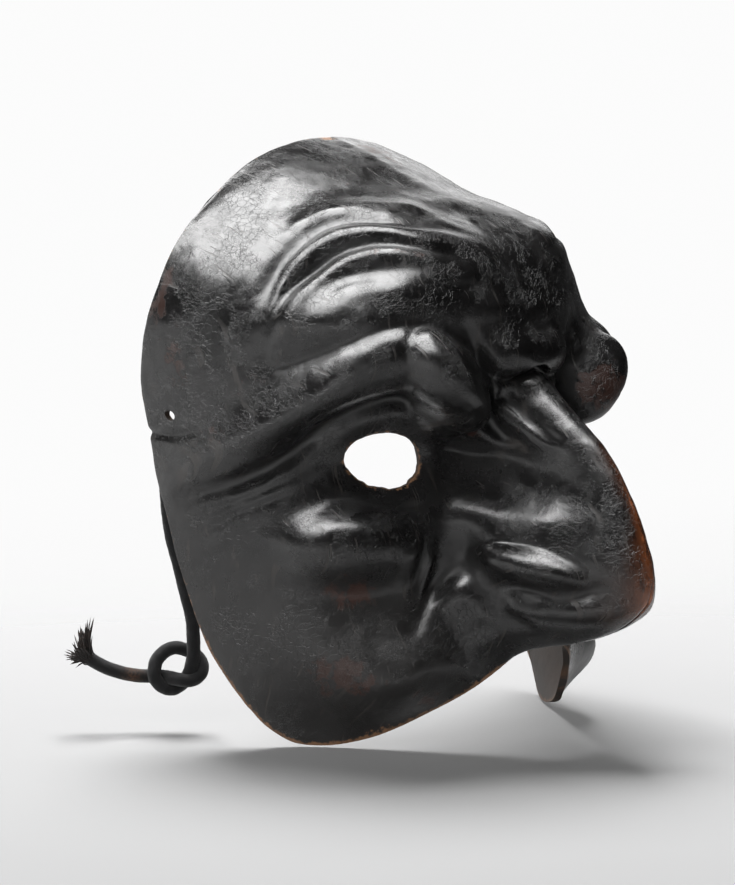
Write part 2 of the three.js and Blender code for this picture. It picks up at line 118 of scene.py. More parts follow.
# Folds follow a path of (along the leather from the middle line, up); then the radius above
# and below the path, and heights spread along it. A negative height is a furrow.
FOLDS = {
    "brow": ([(122, 46), (104, 56), (90, 65), (80, 72), (70, 79), (60, 84), (50, 86.5), (40, 86), (32, 82),
              (26, 74)], [8, 8, 7, 7, 7, 7], [8, 8, 8, 9, 9, 8], [1, 3.5, 6.5, 9, 10, 8, 5]),
    "over the brow": ([(91, 82), (73, 88), (60, 92), (50, 95), (40, 96.5), (31, 97)], [2.2], [2.2],
                      [0, -1, -1.6, -1.8, -1.6, 0]),
    "first ridge": ([(74, 118), (57, 127), (47, 130), (33, 132), (20, 131), (6, 130)], [3], [3],
                    [0, 1.2, 1.8, 1.8, 1.4, 0.2]),
    "first furrow": ([(86, 98), (75, 113), (61, 122), (50, 126), (42, 126), (31, 124), (21, 123), (8, 122)],
                     [2.4], [1.8], [0, -1.2, -2.0, -2.3, -2.0, -1.4, -0.2]),
    "second ridge": ([(84, 98), (76, 108), (66, 117), (54, 121), (42, 121.5), (30, 119), (14, 118)], [3], [3],
                     [0, 0.8, 1.4, 1.4, 1.2, 0.8, 0]),
    "second furrow": ([(92, 84), (82, 98), (74, 107), (66, 112), (56, 117), (48, 118.5), (39, 118), (28, 115),
                       (12, 116)], [1.5], [1.5], [0, -0.9, -1.7, -2.2, -2.2, -2.0, -1.2, 0]),
    "third ridge": ([(84, 90), (70, 106), (58, 112.5), (47, 115), (37, 114.5), (26, 112)], [2.2], [2.2],
                    [0, 0.9, 1.4, 1.4, 1, 0]),
    "third furrow": ([(76, 97), (61, 108), (54, 110), (46, 110.5), (36, 110.5), (27, 111)], [3], [3],
                     [0, -0.9, -1.5, -1.5, -1.1, 0]),
    "short crease": ([(40, 108), (30, 106), (23, 107), (14, 109)], [1.3], [1.5], [0, -1.1, -1.3, 0]),
    "crown ridge": ([(0, 134), (14, 134), (26, 131)], [2.5], [3], [1, 1, 0]),
    "nose root": ([(0, 80), (14, 80), (22, 84)], [2.0], [2.2], [-3.5, -3, -0.5]),
    "frown": ([(26, 95), (22, 85), (20.5, 74), (19, 63)], [2.6], [2.6], [-1, -5, -6, -3.5]),
    "frown ridge": ([(17, 80), (15.5, 71), (15, 61)], [1.8], [1.8], [0.6, 2, 1]),
    "inner frown": ([(13.5, 78), (12, 70), (12, 62)], [1.5], [1.5], [0, -1.6, -0.6]),
    "lid crease": ([(122, 41), (103, 46.6), (90, 52), (80, 58.7), (72, 66), (62, 71), (50, 74), (42, 71.5),
                    (36, 67), (30, 62), (21, 58)], [2.6], [3.8],
                   [-1, -2.5, -3.5, -4, -4.5, -5, -4.5, -3.5, -1.5]),
    "upper crow's foot": ([(70, 56), (84, 48), (100, 41), (122, 34)], [1.6], [1.6], [0, -0.9, -0.7, 0]),
    "lower crow's foot": ([(72, 49), (88, 42), (104, 36), (120, 28)], [1.5], [1.5], [0, -0.7, -0.6, 0]),
    "lower lid": ([(34, 42), (44, 38.5), (56, 39), (68, 42), (76, 45)], [1.8], [1.8], [0, -1, -1.2, -1, 0]),
    "bag ridge": ([(45, 33), (49, 25), (55, 15)], [2.4], [2.4], [0.3, 2, 0.4]),
    "bag furrow": ([(43, 31), (47, 22), (52, 12)], [1.7], [1.7], [-0.3, -2, -0.5]),
    "cheek ridge": ([(40.5, 30), (44, 20), (50, 9), (54, 3)], [2.4], [2.4], [0.3, 2.2, 1.8, 0.2]),
    "nose to mouth": ([(34, 36), (37, 28), (41.5, 19.5), (47.5, 11), (54, 3), (59, -3)],
                      [2.2], [2.6], [-0.5, -2.6, -4.6, -4.2, -1.8, 0]),
    "behind the nostril": ([(35, 31), (38, 23), (38, 15), (35.5, 9), (30, 7)], [2.3], [2.3],
                           [-0.4, -1.8, -2.6, -2.8, -1.6]),
    "nostril furrow": ([(37, 14), (31, 18), (24, 20), (17, 23)], [2.2], [2.0], [-0.5, -2.4, -2.0, 0]),
    "nose roll": ([(36, 8), (31, 11), (25, 13.5), (18, 16), (8, 18)], [3], [3.6], [1, 3.4, 3.6, 2.4, 0.4]),
    "lip side": ([(30, 3), (36, -4)], [5], [5], [1.5, 2.2]),
    "lip crease": ([(36, 3), (43, -4), (52, -9)], [1.4], [1.4], [0, -1.1, 0]),
    "glabella": ([(0, 86.5), (8, 87), (14, 88.5), (19, 92)], [12], [6], [8, 7.5, 5, 1]),
    "tip cleft": ([(0, 26), (0, 15)], [1.5], [1.5], [0, -1.6, -1.4]),
}
FOREHEAD_FOLDS = ("over the brow", "first ridge", "first furrow", "second ridge", "second furrow",
                  "third ridge", "third furrow", "short crease", "crown ridge")
# at (across, up), half length, half height, turn, height, flatness
SWELLINGS = {
    "forehead boss": (32, 119, 27, 12, 0, 8, 1.2),
    "lower forehead": (53, 100.5, 30, 10.5, -0.17, 8, 1.5),
    "over the nose": (17, 101, 10, 4, -0.1, 2, 1),
    "eye socket": (50, 54, 24, 12, 0, -8, 1),
    "inner corner": (24, 54, 9, 12, 0, -6, 1),
    "eye bag": (70, 27, 20, 11.5, -0.1, 9, 1.6),
    "cheek": (88, 0, 26, 24, 0.2, 3, 1),
    "jowl": (60, -20, 32, 19, 0.25, 10.5, 1.1),
}
# rounder swellings, with a foot: at (across, up), half length, half height, turn, height
DOMES = {
    "brow lobe": (33.5, 76, 21, 13, 1.08, 13.5),
    "nostril wing": (29.5, 23, 7.5, 6.5, 0.1, 5),
}
EYE = (53.0, 53.0)
TIE_HOLE = (124.0, 67.0)
# one fold more, behind the wearer's right temple only
CRACK = ([(133, 61), (124, 60.5), (112, 63)], [1.2], [1.2], [-1.3, -1.0, -0.1])
EYE_CELLS, EYE_RAGGED = (9, 9), 0.035        # grid cells from a hole's middle to its edge, and its roughness
TIE_CELLS, TIE_RAGGED = (2, 3), 0.05

# The wearer's left half is not quite as the right one.
FAR_SIDE = (0.02, 0.14)              # shares across between which it starts to differ
FAR_FOLDS_CALM = 0.7                 # part of the forehead's folds that is lost
FAR_FOREHEAD_CALM = 0.6              # part of the lower forehead's swelling that is lost
FAR_LOBE_RISE = 0.14                 # part that the brow lobe gains
FAR_LOBE_DROP = 4.5

# marks of the moulding tools: fineness, shift, depth
MARKS = ((0.085, (0, 0, 0), 1.3), (0.21, (7, 3, 1), 0.75), (0.55, (1, 9, 4), 0.28))


def smoothstep(x, low, high):
    s = np.clip((x - low) / (high - low), 0, 1)
    return s * s * (3 - 2 * s)


def through(knots, values, x):
    """A smooth curve through values at knots."""
    x = np.clip(x, knots[0], knots[-1])
    i = np.clip(np.searchsorted(knots, x, side="right") - 1, 0, len(knots) - 2)
    slope = np.gradient(values, knots, edge_order=1)
    slope[1:-1] = (values[2:] - values[:-2]) / (knots[2:] - knots[:-2])
    step = knots[i + 1] - knots[i]
    s = (x - knots[i]) / step
    return ((2 * s ** 3 - 3 * s ** 2 + 1) * values[i] + (s ** 3 - 2 * s ** 2 + s) * step * slope[i]
            + (3 * s ** 2 - 2 * s ** 3) * values[i + 1] + (s ** 3 - s ** 2) * step * slope[i + 1])


def along_edge(points, share):
    """Points along an edge line, by share of its length."""
    length = np.concatenate([[0], np.cumsum(np.linalg.norm(np.diff(points, axis=0), axis=1))])
    return np.stack([through(length / length[-1], points[:, k], share) for k in range(3)], -1)


def row_point(share, back, up, rim_across, rim_back, rim_up, roundness):
    """One row of the bowl, from the middle line to the rim."""
    turn = share * math.pi / 2
    return np.stack([
        rim_across * np.sin(turn) ** (2 / roundness),
        rim_back - (rim_back - back) * np.maximum(np.cos(turn), 0) ** (2 / roundness),
        up + (rim_up - up) * share ** 1.6,
    ], -1)


def bowl(share, down):
    """The bare bowl of the mask, with its crown and lower edges but no nose."""
    p = row_point(share, *[through(BOWL[:, 0], BOWL[:, k], down) for k in range(1, 7)])
    flat = np.ones_like(share)
    lower = along_edge(LOWER_EDGE, share ** 1.1) - row_point(share, *[v * flat for v in BOWL[-1, 1:]])
    near = 1 - smoothstep(p[..., 0], 14, 45)
    early = smoothstep(down, 0.55, 1)
    p = p + lower * (early + (smoothstep(down, 0.9, 1) - early) * near)[..., None]
    crown = along_edge(CROWN_EDGE, share) - row_point(share, *[v * flat for v in BOWL[0, 1:]])
    return p + crown * (1 - smoothstep(down, 0, 0.3))[..., None]


def with_nose(share, down):
    """The bowl with the nose drawn out of it."""
    p = bowl(share, down)
    ridge_back, ridge_up, half, shoulder, flare = [through(NOSE[:, 0], NOSE[:, k], down) for k in range(1, 6)]
    near = np.clip(p[..., 0] / half, 0, 1)
    pull = (1 - near ** shoulder) ** flare * smoothstep(down, 0.5, 0.56)
    p[..., 1] += pull * (ridge_back - through(BOWL[:, 0], BOWL[:, 1], down))
    p[..., 2] += pull * (1 - near ** 2) * (ridge_up - through(BOWL[:, 0], BOWL[:, 2], down))
    return p


def normal_of(surface, share, down):
    """Outward direction of a surface at given shares."""
    step = 0.004
    across = surface(np.minimum(share + step, 1), down) - surface(np.maximum(share - step, 0), down)
    along = surface(share, np.minimum(down + step, 1)) - surface(share, np.maximum(down - step, 0))
    n = -np.cross(across, along)
    n[..., 0] = np.where(share < 1e-6, 0, n[..., 0])
    return n / np.maximum(np.linalg.norm(n, axis=-1, keepdims=True), 1e-12)


def spread(values, s):
    """Values set evenly along a line, read at s from 0 to 1."""
    values = np.array(values, float)
    return np.interp(s, np.linspace(0, 1, len(values)), values) if len(values) > 1 else values[0] + 0 * s


def smooth_path(points, count=22):
    """Points at even steps along a smooth line through the given ones."""
    points = np.array(points, float)
    length = np.concatenate([[0], np.cumsum(np.linalg.norm(np.diff(points, axis=0), axis=1))])
    s = np.linspace(0, 1, count)
    return np.stack([through(length / length[-1], points[:, k], s) for k in range(points.shape[1])], -1)


def fold_height(across, up, fold):
    """Height of one fold, which falls away on both sides of its path."""
    path, above, below, heights = fold
    line = smooth_path(path)
    best = np.full(across.shape, 1e9)
    along = np.zeros(across.shape)
    side = np.zeros(across.shape)
    for i in range(len(line) - 1):
        a, way = line[i], line[i + 1] - line[i]
        s = np.clip(((across - a[0]) * way[0] + (up - a[1]) * way[1]) / (way @ way), 0, 1)
        ox = across - a[0] - s * way[0]
        oy = up - a[1] - s * way[1]
        away = np.hypot(ox, oy)
        nearer = away < best
        best = np.where(nearer, away, best)
        along = np.where(nearer, (i + s) / (len(line) - 1), along)
        turn = np.clip(-(way[0] * oy - way[1] * ox) / np.hypot(*way) / (away + 0.3), -1, 1)
        side = np.where(nearer, turn, side)
    radius = spread(below, along) + (spread(above, along) - spread(below, along)) * (0.5 + 0.5 * side)
    return spread(heights, along) * np.exp(-(best / radius) ** 2)


def oval(across, up, x, y, half_long, half_high, turn):
    """Square of the distance from the middle of a turned oval, 1 on its outline."""
    dx, dy = across - x, up - y
    a = (dx * math.cos(turn) + dy * math.sin(turn)) / half_long
    b = (dy * math.cos(turn) - dx * math.sin(turn)) / half_high
    return a * a + b * b


def relief(across, up, far):
    """Height of the folds and swellings; far runs from 0 on the near half to 1 on the far one."""
    height = sum(fold_height(across, up, fold) * (1 - FAR_FOLDS_CALM * far * (name in FOREHEAD_FOLDS))
                 for name, fold in FOLDS.items())
    for name, (x, y, half_long, half_high, turn, rise, flatness) in SWELLINGS.items():
        rise = rise * (1 - FAR_FOREHEAD_CALM * far * (name == "lower forehead"))
        off = oval(across, up, x, y, half_long, half_high, turn)
        height = height + rise * np.exp(-(off ** flatness))
    for name, (x, y, half_long, half_high, turn, rise) in DOMES.items():
        far_lobe = far * (name == "brow lobe")
        rise = rise * (1 + FAR_LOBE_RISE * far_lobe)
        off = oval(across, up + FAR_LOBE_DROP * far_lobe, x, y, half_long, half_high, turn)
        height = height + rise * np.clip(1 - off, 0, 1) ** 0.85
    return height


def outer_face(across, down):
    """Points of the outer face; across runs from -1 to 1 and down from 0 to 1."""
    share = np.abs(across)
    p = with_nose(share, down)
    up = bowl(share, down)[..., 2]
    fade = smoothstep(1 - down, 0, 0.09) ** 0.7
    height = relief(LENGTH_ACROSS * share, up, smoothstep(across, *FAR_SIDE))
    p = p + normal_of(with_nose, share, down) * (fade * height)[..., None]
    p[..., 0] *= np.where(across < 0, -1.0, 1.0)
    return p


def down_at(share, up):
    """How far down the bowl a height lies."""
    low, high = np.zeros_like(share), np.ones_like(share)
    for _ in range(32):
        middle = (low + high) / 2
        above = bowl(share, middle)[..., 2] > up
        low, high = np.where(above, middle, low), np.where(above, high, middle)
    return (low + high) / 2


def to_row(points):
    """Millimetres from the lip edge, to metres in the row's frame."""
    return (np.asarray(points, float) - NOSE_BRIDGE) / 1000.0


def settings():
    return bpy.context.scene.leather_mask


def add_piece(name, bm, material):
    mesh = bpy.data.meshes.new(name)
    bm.to_mesh(mesh)
    bm.free()
    piece = bpy.data.objects.new(name, mesh)
    bpy.context.scene.collection.objects.link(piece)
    mesh.materials.append(material)
    for polygon in mesh.polygons:
        polygon.use_smooth = True
    return piece


# ---------------------------------------------------------------------------
# Materials
# ---------------------------------------------------------------------------
class Tree:
    """A small hand for wiring nodes."""

    def __init__(self, tree):
        self.tree = tree

    def add(self, kind, inputs=None, **values):
        node = self.tree.nodes.new(kind)
        for name, value in values.items():
            setattr(node, name, value)
        for name, value in (inputs or {}).items():
            if isinstance(value, bpy.types.NodeSocket):
                self.tree.links.new(value, node.inputs[name])
            else:
                node.inputs[name].default_value = value
        return node

    def math(self, operation, a, b=None, c=None, clamp=False):
        inputs = {0: a}
        if b is not None:
            inputs[1] = b
        if c is not None:
            inputs[2] = c
        return self.add("ShaderNodeMath", inputs, operation=operation, use_clamp=clamp).outputs[0]

    def times(self, a, b, clamp=False):
        return self.math("MULTIPLY", a, b, clamp=clamp)

    def between(self, value, low, high, to_low=0.0, to_high=1.0):
        return self.add("ShaderNodeMapRange", {"Value": value, "From Min": low, "From Max": high,
                                               "To Min": to_low, "To Max": to_high},
                        interpolation_type="SMOOTHSTEP").outputs["Result"]

    def noise(self, vector, scale, detail=4.0, rough=0.55, distortion=0.0):
        return self.add("ShaderNodeTexNoise", {"Vector": vector, "Scale": scale, "Detail": detail,
                                               "Roughness": rough, "Distortion": distortion}).outputs["Fac"]

    def blend(self, factor, a, b):
        node = self.add("ShaderNodeMix", {"Factor": factor}, data_type="RGBA")
        for socket, value in ((node.inputs[6], a), (node.inputs[7], b)):
            if isinstance(value, bpy.types.NodeSocket):
                self.tree.links.new(value, socket)
            else:
                socket.default_value = (*value[:3], 1.0)
        return node.outputs[2]

    def attribute(self, name):
        return self.add("ShaderNodeAttribute", attribute_name=name).outputs["Fac"]

    def deepen(self, value, *steps):
        """Adds each (mask, amount) to a value, one after another."""
        for mask, amount in steps:
            value = self.math("MULTIPLY_ADD", mask, amount, value)
        return value

    def millimetres(self):
        place = self.add("ShaderNodeTexCoord").outputs["Object"]
        return self.add("ShaderNodeVectorMath", {0: place, "Scale": 1000.0}, operation="SCALE").outputs[0]


def new_group(name, amounts, outputs):
    """A node group that takes a place and some amounts."""
    group = bpy.data.node_groups.new(name, "ShaderNodeTree")
    group.interface.new_socket(name="Place", in_out="INPUT", socket_type="NodeSocketVector")
    for label, value in amounts.items():
        socket = group.interface.new_socket(name=label, in_out="INPUT", socket_type="NodeSocketFloat")
        socket.default_value = value
    for label in outputs:
        group.interface.new_socket(name=label, in_out="OUTPUT", socket_type="NodeSocketFloat")
    t = Tree(group)
    return t, t.add("NodeGroupInput").outputs, t.add("NodeGroupOutput").inputs


def grain_group(name):
    """Pores, fine crackle and shallow hand dents in dressed leather, in millimetres."""
    t, given, out = new_group(name, {"Crackle": 0.4, "Pores": 0.5, "Dents": 0.5}, ["Height", "Cracks"])
    place = given["Place"]
    sway = t.add("ShaderNodeTexNoise", {"Vector": place, "Scale": 0.5, "Detail": 3.0})
    bent = t.add("ShaderNodeVectorMath", {0: sway.outputs["Color"], 1: (1.6, 1.6, 1.6), 2: place},
                 operation="MULTIPLY_ADD").outputs[0]
    cells = t.add("ShaderNodeTexVoronoi", {"Vector": bent, "Scale": 0.42}, feature="DISTANCE_TO_EDGE")
    fine = t.add("ShaderNodeTexVoronoi", {"Vector": bent, "Scale": 1.25}, feature="DISTANCE_TO_EDGE")
    wide_cracks = t.between(cells.outputs["Distance"], 0.0, 0.035, 1.0, 0.0)
    fine_cracks = t.between(fine.outputs["Distance"], 0.0, 0.06, 1.0, 0.0)
    where = t.between(t.noise(place, 0.055, 3), 0.45, 0.62)
    where_fine = t.between(t.noise(place, 0.11, 3), 0.42, 0.6)
    cracks = t.math("MAXIMUM", t.times(wide_cracks, where), t.times(t.times(fine_cracks, where_fine), 0.6))
    cracks = t.times(cracks, given["Crackle"])
    pores = t.add("ShaderNodeTexVoronoi", {"Vector": place, "Scale": 1.5, "Randomness": 1.0})
    pore = t.between(pores.outputs["Distance"], 0.08, 0.26, 1.0, 0.0)
    pore = t.times(pore, t.between(t.noise(place, 0.09, 2), 0.5, 0.7))
    pore = t.times(pore, given["Pores"])
    skin = t.noise(place, 2.6, 5, 0.6)
    dents = t.times(t.noise(place, 0.16, 4, 0.5, 0.4), given["Dents"])
    t.tree.links.new(t.deepen(dents, (skin, 0.05), (pore, -0.10), (cracks, -0.13)), out["Height"])
    t.tree.links.new(cracks, out["Cracks"])
    return t.tree


def scratch_group(name):
    """Thin scuffs that run in a few directions."""
    t, given, out = new_group(name, {"Amount": 0.5}, ["Scuffs"])
    total = None
    for turn, scale, where in (((0.3, 0.9, 0.2), 0.9, 0.10), ((1.1, 0.2, 1.9), 1.3, 0.14),
                               ((0.7, 2.2, 0.9), 0.7, 0.08)):
        lane = t.add("ShaderNodeMapping", {"Vector": given["Place"], "Rotation": turn,
                                           "Scale": (scale, scale * 0.045, scale * 0.045)}).outputs[0]
        line = t.between(t.noise(lane, 1.0, 2, 0.4), 0.655, 0.70)
        line = t.times(line, t.between(t.noise(given["Place"], where, 2), 0.46, 0.62))
        total = line if total is None else t.math("MAXIMUM", total, line)
    t.tree.links.new(t.times(total, given["Amount"]), out["Scuffs"])
    return t.tree


def wear_group(name):
    """Turns a soft mask into chipped, worn-through patches."""
    t, given, out = new_group(name, {"Mask": 0.0, "Size": 0.3, "Softness": 0.12}, ["Worn"])
    chips = t.noise(given["Place"], given["Size"], 6, 0.68)
    above = t.math("ADD", given["Mask"], t.math("MULTIPLY_ADD", chips, 1.5, -1.25))
    worn = t.between(above, 0.0, given["Softness"])
    t.tree.links.new(t.times(worn, t.between(given["Mask"], 0.0, 0.15)), out["Worn"])
    return t.tree


GROUPS = {"Leather Grain": grain_group, "Scuffs": scratch_group, "Worn Patches": wear_group}


def use_group(t, name, place, **amounts):
    """Wires in a node group, which is made the first time that it is asked for."""
    group = bpy.data.node_groups.get(name) or GROUPS[name](name)
    return t.add("ShaderNodeGroup", {"Place": place, **amounts}, node_tree=group).outputs


def new_material(name, **constants):
    """A material, its tree and its shader, with plain numbers set on the shader's own sockets."""
    material = bpy.data.materials.new(name)
    material.use_nodes = True
    shader = material.node_tree.nodes["Principled BSDF"]
    for socket, value in constants.items():
        shader.inputs[socket.replace("_", " ")].default_value = value
    return material, Tree(material.node_tree), shader


def wire(t, shader, colour, rough, height, strength, distance):
    """Feeds a shader its colour and roughness, and a bump of a given depth in metres."""
    t.tree.links.new(colour, shader.inputs["Base Color"])
    t.tree.links.new(rough, shader.inputs["Roughness"])
    bump = t.add("ShaderNodeBump", {"Height": height, "Strength": strength, "Distance": distance})
    t.tree.links.new(bump.outputs[0], shader.inputs["Normal"])


def shade(colour, share):
    """A colour made lighter or darker."""
    return [c * share for c in colour]


def finish_leather():
    """Near-black lacquered leather: chipped to red-brown, rubbed on the nose, bare along its edges."""
    s = settings()
    material, t, shader = new_material("Black Lacquered Leather", Coat_Weight=0.25, Coat_Roughness=0.22,
                                       Specular_IOR_Level=0.5)
    place = t.millimetres()
    grain = use_group(t, "Leather Grain", place, Crackle=1.0, Pores=0.8, Dents=0.35)
    scuffs = use_group(t, "Scuffs", place, Amount=1.0)["Scuffs"]
    rubbed, nose_wear = t.attribute("rubbed"), t.attribute("nose_wear")
    edge, dull, hollow = t.attribute("edge"), t.attribute("dull"), t.attribute("hollow")
    chips = use_group(t, "Worn Patches", place, Mask=rubbed, Size=0.22, Softness=0.18)["Worn"]
    bare = use_group(t, "Worn Patches", place, Mask=edge, Size=0.5, Softness=0.25)["Worn"]
    cloud = t.between(t.noise(place, 0.035, 4, 0.6), 0.35, 0.7)
    colour = t.blend(cloud, s.leather_colour, shade(s.leather_colour, 1.9))
    colour = t.blend(t.times(dull, 0.8), colour, s.dull_colour)
    colour = t.blend(t.times(chips, 0.75), colour, s.rubbed_colour)
    streak = t.add("ShaderNodeMapping", {"Vector": place, "Scale": (1.0, 0.4, 0.22)}).outputs[0]
    warm = t.times(nose_wear, t.between(t.noise(streak, 0.5, 5, 0.65), 0.25, 0.55), clamp=True)
    colour = t.blend(warm, colour, s.nose_colour)
    hot = t.times(t.between(nose_wear, 0.55, 1.0),
                 t.between(t.noise(streak, 0.9, 5, 0.7), 0.5, 0.62))
    colour = t.blend(t.times(hot, 0.8), colour, shade(s.nose_colour, 2.4))
    colour = t.blend(bare, colour, s.edge_colour)
    colour = t.blend(t.times(scuffs, 0.35), colour, s.scuff_colour)
    colour = t.blend(t.times(grain["Cracks"], 0.6), colour, (0.003, 0.0028, 0.0027))
    rough = t.between(t.noise(place, 0.09, 5, 0.6), 0.3, 0.75, s.gloss - 0.05, s.gloss + 0.13)
    rough = t.deepen(rough, (t.noise(place, 0.9, 4, 0.7), 0.12), (dull, 0.12), (scuffs, 0.22), (chips, 0.10),
                     (bare, 0.3))
    rough = t.math("MULTIPLY_ADD", hollow, 0.15, rough, clamp=True)
    height = t.deepen(grain["Height"], (scuffs, -0.05), (chips, -0.07), (bare, -0.06))
    wire(t, shader, colour, rough, height, 0.9, 0.0009)
    return material


def finish_inside():
    """The flesh side: dark, matt and fibrous, rubbed paler where it meets the face."""
    s = settings()
    material, t, shader = new_material("Leather Flesh Side", Sheen_Weight=0.08)
    place = t.millimetres()
    grain = use_group(t, "Leather Grain", place, Crackle=0.25, Pores=0.5, Dents=0.5)
    nap = t.noise(place, 3.2, 6, 0.7)
    stain = t.between(t.noise(place, 0.03, 5, 0.6), 0.38, 0.66)
    colour = t.blend(stain, s.inside_colour, shade(s.inside_colour, 2.1))
    colour = t.blend(t.between(nap, 0.55, 0.8, 0.0, 0.5), colour, shade(s.inside_colour, 3.0))
    bare = use_group(t, "Worn Patches", place, Mask=t.attribute("edge"), Size=0.4, Softness=0.3)["Worn"]
    colour = t.blend(t.times(bare, 0.7), colour, s.edge_colour)
    rough = t.between(nap, 0.3, 0.75, 0.62, 0.86)
    wire(t, shader, colour, rough, t.deepen(grain["Height"], (nap, 0.25)), 0.9, 0.0008)
    return material


def finish_edge():
    """The cut edge, where the layers of the hide show under the black."""
    s = settings()
    material, t, shader = new_material("Cut Leather Edge")
    place = t.millimetres()
    fibre = t.noise(place, 2.2, 6, 0.7)
    inked = t.between(t.noise(place, 0.11, 4, 0.6), 0.30, 0.50)
    colour = t.blend(t.between(fibre, 0.35, 0.7), shade(s.edge_colour, 0.45), s.edge_colour)
    colour = t.blend(t.times(inked, 0.85), colour, shade(s.leather_colour, 2.0))
    wire(t, shader, colour, t.between(fibre, 0.3, 0.7, 0.55, 0.85), fibre, 0.8, 0.0004)
    return material


def finish_cord():
    """Matt black braided cord with a fibrous nap, browned where it is rubbed."""
    s = settings()
    material, t, shader = new_material("Braided Black Cord", Sheen_Weight=0.12, Sheen_Roughness=0.5,
                                       Specular_IOR_Level=0.25)
    place = t.millimetres()
    along = t.add("ShaderNodeUVMap", uv_map="UVMap").outputs[0]
    threads = t.add("ShaderNodeTexWave", {"Vector": along, "Scale": 60.0, "Distortion": 1.4, "Detail": 2.0},
                    bands_direction="DIAGONAL").outputs["Fac"]
    nap = t.noise(place, 5.0, 6, 0.7)
    worn = t.times(t.attribute("rubbed"), t.between(t.noise(place, 1.2, 5, 0.7), 0.35, 0.6),
                  clamp=True)
    dusty = t.between(t.noise(place, 0.22, 4, 0.6), 0.45, 0.7)
    colour = t.blend(dusty, s.cord_colour, shade(s.cord_colour, 2.0))
    colour = t.blend(t.between(nap, 0.55, 0.8, 0.0, 0.5), colour, shade(s.cord_colour, 3.0))
    colour = t.blend(worn, colour, s.cord_worn_colour)
    rough = t.between(nap, 0.3, 0.7, 0.72, 0.92)
    wire(t, shader, colour, rough, t.deepen(nap, (threads, 0.35)), 0.8, 0.0003)
    return material


def finish_floor():
    """Pale matt board with painted light falloff: it fades into the white backdrop away from a point in front
    of the mask, so it is greyer towards the camera and whiter behind.
    """
    material, t, shader = new_material("Pale Studio Floor", Roughness=0.75, Specular_IOR_Level=0.2)
    place = t.add("ShaderNodeTexCoord").outputs["Object"]
    colour = t.blend(t.noise(place, 3.0, 3), (0.232, 0.232, 0.234), (0.250, 0.250, 0.250))
    t.tree.links.new(colour, shader.inputs["Base Color"])
    # painted light falloff: the alpha fade is centred 0.28 m in front of the mask, towards the camera, so the
    # floor greys near the camera and whitens behind
    falloff_place = t.add("ShaderNodeVectorMath", {0: place, 1: (0.2, 0.2, 0.0)}, operation="ADD").outputs["Vector"]
    far = t.add("ShaderNodeVectorMath", {0: falloff_place}, operation="LENGTH").outputs["Value"]
    t.tree.links.new(t.between(far, 0.15, 1.0, 1.0, 0.0), shader.inputs["Alpha"])
    return material


# ---------------------------------------------------------------------------
# Sizes and colours
# ---------------------------------------------------------------------------
def a_length(name, description, default, **more):
    return FloatProperty(name=name, description=description, default=default, unit="LENGTH", **more)


def a_colour(name, description, default):
    return FloatVectorProperty(name=name, description=description, default=default, subtype="COLOR", size=3)


class LeatherMaskSettings(bpy.types.PropertyGroup):
    leather: a_length("Leather", "Thickness of the hide", 0.0024, min=0.001)
    eye_width: a_length("Eye width", "Width of each eye hole along the leather", 0.0268)
    eye_height: a_length("Eye height", "Height of each eye hole", 0.0168)
    tie_hole: a_length("Tie hole", "Diameter of the hole near each temple", 0.0034)
    hand_marks: a_length("Hand marks", "Depth of the uneven marks left by moulding", 0.00022)
    columns: IntProperty(name="Columns", description="Quads across half of the leather", default=102, min=20)
    rows: IntProperty(name="Rows", description="Quads from the crown down to the lip", default=212, min=20)
    cord: a_length("Cord", "Diameter of the tie cord", 0.0045)
    strands: IntProperty(name="Strands", description="Loose threads at the frayed end", default=170, min=8)
    gloss: FloatProperty(name="Gloss", description="Lowest roughness of the lacquer", default=0.17,
                         min=0.05, max=0.9)
    leather_colour: a_colour("Leather", "Black dressing on the leather", (0.0052, 0.0050, 0.0050))
    dull_colour: a_colour("Dull leather", "Greyed leather low on the cheeks", (0.017, 0.0160, 0.0155))
    rubbed_colour: a_colour("Rubbed leather", "Red-brown where the black is thin", (0.036, 0.014, 0.009))
    nose_colour: a_colour("Nose ridge", "Warm brown along the rubbed nose", (0.15, 0.048, 0.018))
    edge_colour: a_colour("Bare edge", "Bare hide along the cut edges", (0.16, 0.085, 0.045))
    scuff_colour: a_colour("Scuffs", "Grey-brown of the fine scuffs", (0.05, 0.043, 0.038))
    inside_colour: a_colour("Flesh side", "Unlacquered inner face", (0.020, 0.013, 0.0095))
    cord_colour: a_colour("Cord", "Black of the cord", (0.0042, 0.0042, 0.0046))
    cord_worn_colour: a_colour("Worn cord", "Brown of its rubbed threads", (0.10, 0.05, 0.026))


# ---------------------------------------------------------------------------
# The leather shell
# ---------------------------------------------------------------------------
def spaced(count, lines):
    """Places from 0 to 1, closer together where the lines that run that way are longer."""
    length = np.linalg.norm(np.diff(lines, axis=0), axis=-1).mean(1)
    length = 0.75 * length / length.sum() + 0.25 / len(length)
    return np.interp(np.linspace(0, 1, count + 1), np.concatenate([[0], np.cumsum(length)]),
                     np.linspace(0, 1, len(lines)))


def hole_edge(turn, rough):
    """A hole's outline, hand cut: its radius as a share of the true one, by angle."""
    ragged = (np.sin(3 * turn + 0.7) * 0.5 + np.sin(7 * turn + 2.1) * 0.4 + np.sin(13 * turn + 4.0) * 0.35
              + np.sin(23 * turn + 1.3) * 0.3)
    lower = smoothstep(-np.sin(turn), 0.1, 0.9)
    return 1 + rough * ragged * (0.35 + 0.9 * lower)


